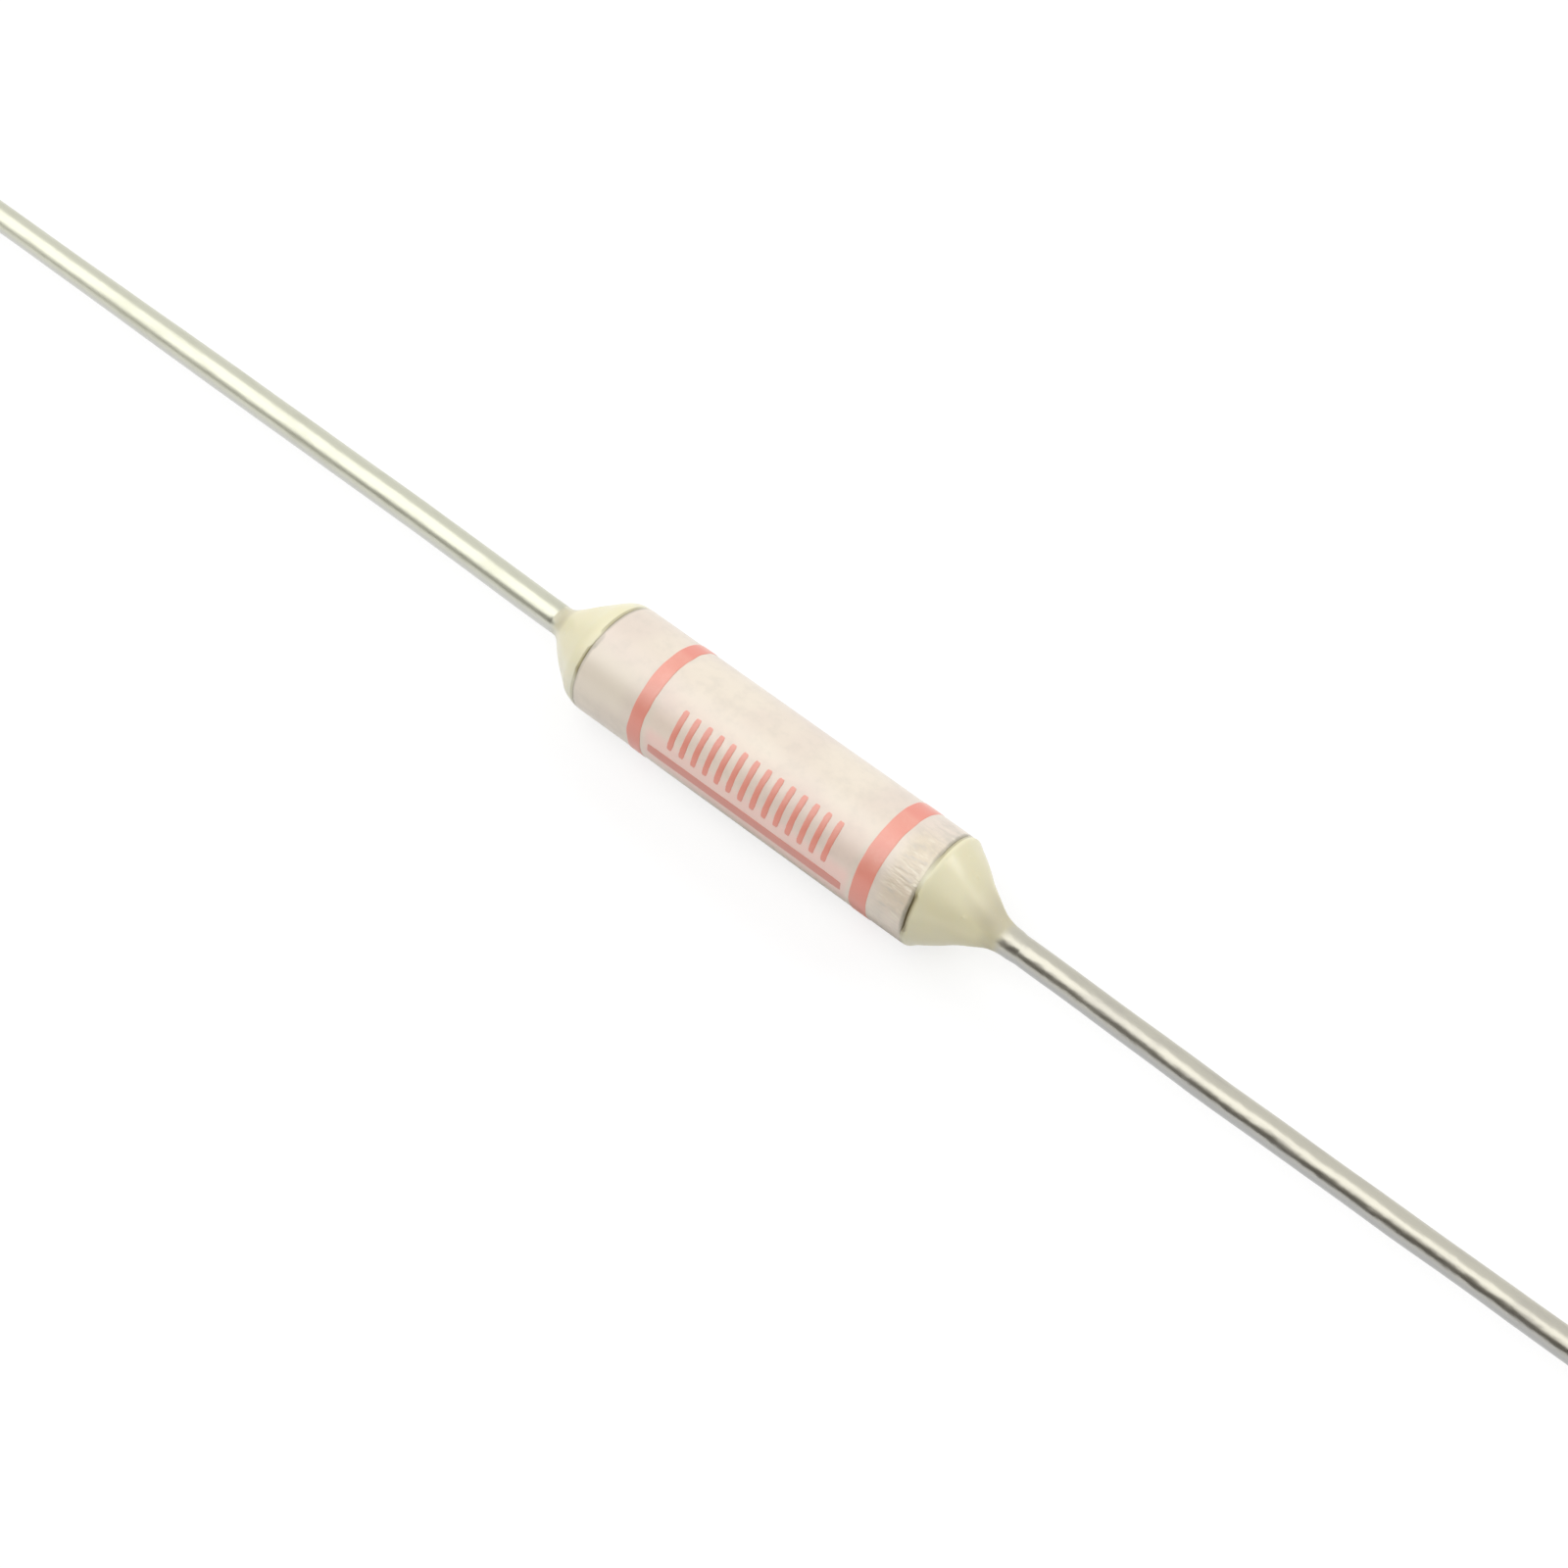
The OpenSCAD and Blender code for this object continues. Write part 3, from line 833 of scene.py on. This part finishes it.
def seal_rings(side, seal, tube):
    """A seal as one closed loop of rings: up the inner face of its plug, along the bore, over the
    end of the tube and round its rim, over the lip, down the cone, out along the wire, and back
    beside the wire. The lip stands back from the rim where the groove is open. To the cone's
    outline come the right cone's fill * exp(-((out - place) / spread)^2), a lean * cos(turn - turn
    it leans to), soft waves, and bumps that fade by exp(-(distance / their radius)^2)."""
    slope, shoulder, hollow, bulge, sideways = of_side(
        seal, side, "slope", "shoulder", "hollow", "bulge", "lean")
    wire_r = wire_mount(side)[1]
    film_r = wire_r + seal.film
    cone = cone_length(side)
    turn = turns(seal.columns)
    opened = open_groove(side, turn)
    bore = TUBE_R - tube.wall - CLOSE_FIT
    rim_r, rim_fit = TUBE_R - tube.rim_round, tube.rim_round + CLOSE_FIT
    # An open groove leaves more of the rim bare and has a rounder lip.
    lip_angle = np.radians(68 - 62 * opened)
    lip_round = (0.012 + 0.055 * opened) * MM

    def ring(out, radius):
        return np.broadcast_to(out, turn.shape), np.broadcast_to(radius, turn.shape)

    rings = [
        ring(PLUG_END - TUBE_END, wire_r), ring(PLUG_END - TUBE_END, 0.5 * (wire_r + bore)),
        ring(PLUG_END - TUBE_END, bore), ring(-MOUTH_STEP, bore),
        ring(CLOSE_FIT, bore + MOUTH_STEP), ring(CLOSE_FIT, rim_r)]
    for share in (0.33, 0.67, 1.0):
        reached = lip_angle * share
        rings.append(ring(-tube.rim_round + rim_fit * np.cos(reached), rim_r + rim_fit * np.sin(reached)))
    foot, foot_r = rings[-1]
    top = foot + lip_round
    top_r = cone_radius(top, slope, shoulder, hollow, film_r, cone, bulge)
    for round_turn in ARC:
        rings.append(ring(foot + lip_round * (1 - math.cos(round_turn)),
                          foot_r + (top_r - foot_r) * math.sin(round_turn)))
    share = np.linspace(0, 1, seal.rows)[:, None]
    out = top + (cone - top) * share
    radius = cone_radius(out, slope, shoulder, hollow, film_r, cone, bulge)
    rings.append((out, radius))
    tail = seal.tail * (1 + 0.45 * waves(0, turn, FULL_TURN * wire_r, 0.5 * MM, seed=20 + side, count=8))
    share = np.linspace(0, 1, 13)[1:, None] + 0 * turn
    thinning = (seal.film + CLOSE_FIT) * (0.5 + 0.5 * np.cos(math.pi * share))
    rings.append((cone + tail * share, wire_r - CLOSE_FIT + thinning))
    rings.append(ring(cone + tail - 0.02 * MM, wire_r - 3 * CLOSE_FIT))
    out, radius = (np.concatenate(parts) for parts in zip(*rings))
    x = side * (TUBE_END + out)
    bulk = smooth_step(0.0, 0.3 * MM, out) * smooth_step(wire_r, wire_r + 0.3 * MM, radius)
    if side == RIGHT:
        radius = radius + seal.right_fill * np.exp(-((out - FILL_AT) / FILL_SPREAD) ** 2)
    leaning = smooth_step(0.0, 0.15 * MM, out) * smooth_step(cone, 0.2 * MM, out)
    radius = radius + sideways * leaning * np.cos(turn - math.radians(LEAN_TURN))
    for depth, shortest, seed in ((seal.swell, 1.2 * MM, 30), (seal.swell * 0.25, 0.4 * MM, 40)):
        radius = radius + depth * bulk * waves(x, turn, FULL_TURN * TUBE_R, shortest, seed=seed + side)
    for at, at_turn in BUMPS:
        apart = (out - at * MM) ** 2 + (radius * turned_apart(turn, at_turn)) ** 2
        radius = radius + BUMP_HEIGHT * bulk * np.exp(-apart / BUMP_R ** 2)
    x = x + side * rim_shift(side, turn, tube.slant) * smooth_step(cone, 0.3 * MM, out)
    return round_points(x, radius, turn)


def wire_rings(side, wire, cone):
    """A wire from the fusible link out to its cut end, as rings along a line that steps off the
    axis between two slight bends. Its radius is the wire's own and a ripple * (wander + 0.15 small),
    which are waves, and any extra tin near the body. A bevel rounds the cut."""
    tip, wire_r = wire_mount(side)
    ripple, extra = of_side(wire, side, "ripple", "extra")
    step = math.hypot(tip.y, tip.z)
    first_bend = TUBE_END + cone + wire.bend_gap
    run = step / math.tan(wire.bend_slope)
    along = np.concatenate([
        [LINK_END], np.linspace(LINK_END + wire.cut_edge, abs(tip.x) - wire.cut_edge, wire.rows),
        abs(tip.x) - wire.cut_edge * (1 - np.sin(BEVEL_ARC))])[:, None]
    turn = turns(wire.columns)
    girth = FULL_TURN * wire_r
    free = smooth_step(TUBE_END + cone, TUBE_END + cone + 1 * MM, along)
    wander = waves(along, turn, girth, 0.9 * MM, seed=50 + side, stretch=1.6)
    small = waves(along, turn, girth, 0.3 * MM, seed=60 + side, stretch=1.5)
    radius = wire_r + ripple * free * (wander + 0.15 * small)
    thick = smooth_step(TUBE_END + cone - 0.15 * MM, TUBE_END + cone + 0.1 * MM, along)
    thick = thick * smooth_step(TUBE_END + TIN_GONE, TUBE_END + TIN_FULL, along)
    radius = radius + extra * thick
    bevel = np.concatenate([
        [wire.cut_edge], np.zeros(wire.rows), wire.cut_edge * (1 - np.cos(BEVEL_ARC))])
    radius = radius - bevel[:, None]
    rings = round_points(side * along, radius, turn)
    stepped = np.clip((along - first_bend) / run, 0, 1)
    rings[..., 1] += tip.y * stepped
    rings[..., 2] += tip.z * stepped
    return rings


def band_rings(node, inks, seed):
    """A printed band as one closed loop of rings: over its low crown from edge to edge, then back
    beneath it, just under the glaze. The crown stands over the glaze by the ink's thickness *
    (1 - |across|^8)^0.5 * (0.9 + 0.05 waves), and each edge wanders by waves round the tube."""
    low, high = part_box(node)
    turn = turns(inks.columns)
    girth = FULL_TURN * TUBE_R
    left = low.x + inks.ragged * 0.6 * waves(0, turn, girth, 0.35 * MM, seed=seed)
    right = high.x + inks.ragged * 0.6 * waves(0, turn, girth, 0.35 * MM, seed=seed + 1)
    across = np.sin(np.linspace(-math.pi / 2, math.pi / 2, 30))[:, None]
    crown = (1 - np.abs(across) ** 8) ** 0.5
    x = 0.5 * (left + right) + 0.5 * (right - left) * across
    uneven = waves(x, turn, girth, 0.3 * MM, seed=seed + 2)
    over = TUBE_R + inks.thickness * crown * (0.9 + 0.05 * np.clip(uneven, -2, 2))
    under = np.broadcast_to(TUBE_R - PRINT_GRIP, over.shape)
    return round_points(np.concatenate([x, x[::-1]]), np.concatenate([over, under[::-1]]), turn)


def patch_rings(middle, half_length, turn_middle, half_turn, inks, square, columns, seed):
    """A printed patch with rounded corners: rings of a superellipse |a|^square + |b|^square = 1 that
    grow from its middle to its edge over a low crown, thickness * (1 - size^10)^0.5, and shrink
    again beneath it. Its edge wanders by a sum of five cosines round it."""
    draw = np.random.default_rng(seed)
    ragged = 0.4 * inks.ragged
    place = turns(columns)
    power = 2 / square
    a = np.sign(np.cos(place)) * np.abs(np.cos(place)) ** power
    b = np.sign(np.sin(place)) * np.abs(np.sin(place)) ** power
    wander = sum(np.cos(k * place + draw.uniform(0, FULL_TURN)) for k in (5, 7, 11, 16, 23)) / 3
    size = np.concatenate([np.linspace(0.04, 0.8, 7), [0.88, 0.93, 0.965, 0.985, 1.0]])[:, None]
    out_x, out_turn = (np.sign(part) * (np.abs(part) > 0.9) for part in (a, b))
    x = middle + a * size * half_length + ragged * wander * size * out_x
    turn = turn_middle + b * size * half_turn + ragged / TUBE_R * wander * size * out_turn
    over = TUBE_R + inks.thickness * np.sqrt(1 - size ** 10) + 0 * a
    under = np.broadcast_to(TUBE_R - PRINT_GRIP, over.shape)
    return round_points(*(np.concatenate([first, second[::-1]]) for first, second in (
        (x, x), (over, under), (turn, turn))))


def printed_turns(node):
    """Middle and half width of a printed patch round the tube, as turns, from its box's heights."""
    low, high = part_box(node)
    least = math.acos(high.z / INK_R)
    most = math.acos(low.z / (INK_R if low.z < 0 else TUBE_R))
    return (least + most) / 2, (most - least) / 2


# ---------------- operators

class FUSE_OT_tube(bpy.types.Operator):
    """Build the glazed ceramic tube"""
    bl_idname = "fuse.tube"
    bl_label = "Ceramic tube"

    def execute(self, context):
        tube = context.scene.fuse_tube
        piece = ring_piece("ceramic_tube_glazed", [tube_rings(tube)], looped=True)
        dress(piece, ceramic_finish(tube), "ceramic", "ceramic_tube")
        return {"FINISHED"}


class FUSE_OT_seals(bpy.types.Operator):
    """Build the cones of resin that seal both ends of the tube"""
    bl_idname = "fuse.seals"
    bl_label = "End seals"

    def execute(self, context):
        scene = context.scene
        finish = resin_finish(scene.fuse_seal, scene.fuse_wire, scene.fuse_tube.slant)
        for side, name in SIDE_NAMES.items():
            rings = seal_rings(side, scene.fuse_seal, scene.fuse_tube)
            piece = ring_piece(f"resin_cone_{name}", [rings], looped=True, crease=50)
            dress(piece, finish, "seal_resin", f"end_seal_{name}")
        return {"FINISHED"}


class FUSE_OT_wires(bpy.types.Operator):
    """Build the two tinned wires"""
    bl_idname = "fuse.wires"
    bl_label = "Lead wires"

    def execute(self, context):
        wire = context.scene.fuse_wire
        for side, label, ripple, seed in ((LEFT, "pale_tin", 0.35, 3), (RIGHT, "bright_tin", 1.0, 8)):
            name = SIDE_NAMES[side]
            finish = tin_finish(label, *of_side(wire, side, "tin", "dull", "under"), ripple, seed)
            piece = ring_piece(f"tinned_wire_{name}", [wire_rings(side, wire, cone_length(side))])
            dress(piece, finish, "tinned_wire", f"lead_{name}")
        return {"FINISHED"}


class FUSE_OT_prints(bpy.types.Operator):
    """Print the bands, the rule and the row of bars on the tube"""
    bl_idname = "fuse.prints"
    bl_label = "Printed bands and row"

    def execute(self, context):
        inks = context.scene.fuse_print
        finish = ink_finish(inks)
        for number, name in enumerate(SIDE_NAMES.values()):
            rings = band_rings(f"ink_band_{name}", inks, 70 + 5 * number)
            piece = ring_piece(f"printed_band_{name}", [rings], looped=True)
            dress(piece, finish, "red_ink", f"ink_band_{name}")
        rule = patch_rings(
            *span("ink_rule"), *printed_turns("ink_rule"), inks, square=14, columns=420, seed=90)
        dress(ring_piece("printed_rule", [rule]), finish, "red_ink", "ink_rule")
        low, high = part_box("ink_marks")
        upright, half_width = printed_turns("ink_marks"), inks.bar_width / 2
        starts = np.linspace(low.x, high.x - inks.bar_width, inks.bar_count)
        bars = [
            patch_rings(start + half_width, half_width, *upright, inks, square=6, columns=72, seed=seed)
            for seed, start in enumerate(starts, 100)]
        dress(ring_piece("printed_bars", bars), finish, "red_ink", "ink_marks")
        return {"FINISHED"}


class FUSE_OT_link(bpy.types.Operator):
    """Finish the fusible alloy and its flux, which stay as the frame has them"""
    bl_idname = "fuse.link"
    bl_label = "Fusible link"

    def execute(self, context):
        link = context.scene.fuse_link
        for node, finish in (("fusible_alloy", alloy_finish(link)), ("flux_resin", flux_finish(link))):
            materials = frame["nodes"][node].data.materials
            materials.clear()
            materials.append(finish)
        return {"FINISHED"}


def soft_lamp(name, studio, direction, size, radiance, lights=True, shines=True, roll=0):
    """An area lamp at the studio's reach, facing the fuse, of a size and radiance. Its power is
    pi * area * radiance. It may only light surfaces, or only shine in glossy ones, and then it
    stands a little nearer than the rest. A roll in degrees turns it about the line to the fuse."""
    data = bpy.data.lights.new(name, "AREA")
    data.shape = "RECTANGLE"
    data.size, data.size_y = size
    data.energy = math.pi * size[0] * size[1] * radiance
    lamp = add_object(name, data)
    direction = Vector(direction).normalized()
    lamp.location = direction * studio.reach * (1.0 if lights else 0.96)
    lamp.rotation_mode = "QUATERNION"
    lamp.rotation_quaternion = direction.to_track_quat("Z", "Y") @ Quaternion((0, 0, 1), math.radians(roll))
    lamp.visible_camera = False
    lamp.visible_diffuse = lights
    lamp.visible_glossy = shines


def flat_stage(name, corners, finish):
    """A flat stage piece from its corners."""
    mesh = bpy.data.meshes.new(name)
    mesh.from_pydata(corners, [], [list(range(len(corners)))])
    mesh.materials.append(finish)
    piece = add_object(name, mesh)
    return piece


class FUSE_OT_stage(bpy.types.Operator):
    """Set the table, the lamps, the white surroundings and the camera"""
    bl_idname = "fuse.stage"
    bl_label = "Table, lamps and camera"

    def execute(self, context):
        scene = context.scene
        studio = scene.fuse_studio
        rim = turns(64)[0]
        reach, table_z = studio.reach, -INK_R
        edge = np.stack([4 * reach * np.cos(rim), 4 * reach * np.sin(rim), 0 * rim + table_z], -1)
        flat_stage("table", edge.tolist(), floor_finish(studio))
        corners = [(across * reach, -0.75 * reach, table_z + up * reach) for across, up in CARD_CORNERS]
        card = flat_stage("dark_card", corners, card_finish(studio))
        card.visible_camera = False
        for name, (strength, direction, size, treated) in LAMPS.items():
            soft_lamp(name, studio, direction, size, getattr(studio, strength), **treated)

        world = bpy.data.worlds.new("white_surroundings")
        scene.world = world
        nodes = Nodes(world)
        seen = seen_as_backdrop(nodes)
        nodes.finish("ShaderNodeOutputWorld", nodes.node("ShaderNodeBackground", None, {
            "Color": (1, 1, 1), "Strength": seen * (1 - studio.fill) + studio.fill}))

        data = bpy.data.cameras.new("camera")
        data.sensor_width = 36
        data.angle = studio.view_angle
        data.clip_start, data.clip_end = 1 * MM, 10
        camera = add_object("camera", data)
        turned, raised = studio.azimuth, studio.elevation
        back = Vector((math.sin(turned) * math.cos(raised), -math.cos(turned) * math.cos(raised),
                       math.sin(raised)))
        camera.location = Vector(studio.aim) + back * studio.distance
        camera.rotation_mode = "QUATERNION"
        camera.rotation_quaternion = (-back).to_track_quat("-Z", "Y")
        scene.camera = camera
        scene.view_settings.view_transform = "Standard"
        return {"FINISHED"}


# ---------------- the sidebar panel

PIECE_OPERATORS = (FUSE_OT_tube, FUSE_OT_seals, FUSE_OT_wires, FUSE_OT_prints, FUSE_OT_link, FUSE_OT_stage)
SETTINGS = {
    "fuse_tube": TubeSettings, "fuse_seal": SealSettings, "fuse_wire": WireSettings,
    "fuse_print": PrintSettings, "fuse_link": LinkSettings, "fuse_studio": StudioSettings}


class FUSE_PT_panel(bpy.types.Panel):
    """Lists the fuse's pieces and the sizes and colours they are built from"""
    bl_idname = "FUSE_PT_panel"
    bl_label = "Thermal fuse"
    bl_space_type = "VIEW_3D"
    bl_region_type = "UI"
    bl_category = "Fuse"

    def draw(self, context):
        for (settings, group), operator in zip(SETTINGS.items(), PIECE_OPERATORS):
            box = self.layout.box()
            box.operator(operator.bl_idname)
            for name in group.__annotations__:
                box.prop(getattr(context.scene, settings), name)


def register():
    for group in SETTINGS.values():
        bpy.utils.register_class(group)
    for name, group in SETTINGS.items():
        setattr(bpy.types.Scene, name, PointerProperty(type=group))
    for operator in PIECE_OPERATORS:
        bpy.utils.register_class(operator)
    bpy.utils.register_class(FUSE_PT_panel)


def unregister():
    bpy.utils.unregister_class(FUSE_PT_panel)
    for operator in reversed(PIECE_OPERATORS):
        bpy.utils.unregister_class(operator)
    for name, group in SETTINGS.items():
        delattr(bpy.types.Scene, name)
        bpy.utils.unregister_class(group)


def main():
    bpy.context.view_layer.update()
    register()
    bpy.ops.fuse.tube()
    bpy.ops.fuse.seals()
    bpy.ops.fuse.wires()
    bpy.ops.fuse.prints()
    bpy.ops.fuse.link()
    bpy.ops.fuse.stage()


if __name__ == "__main__":
    main()
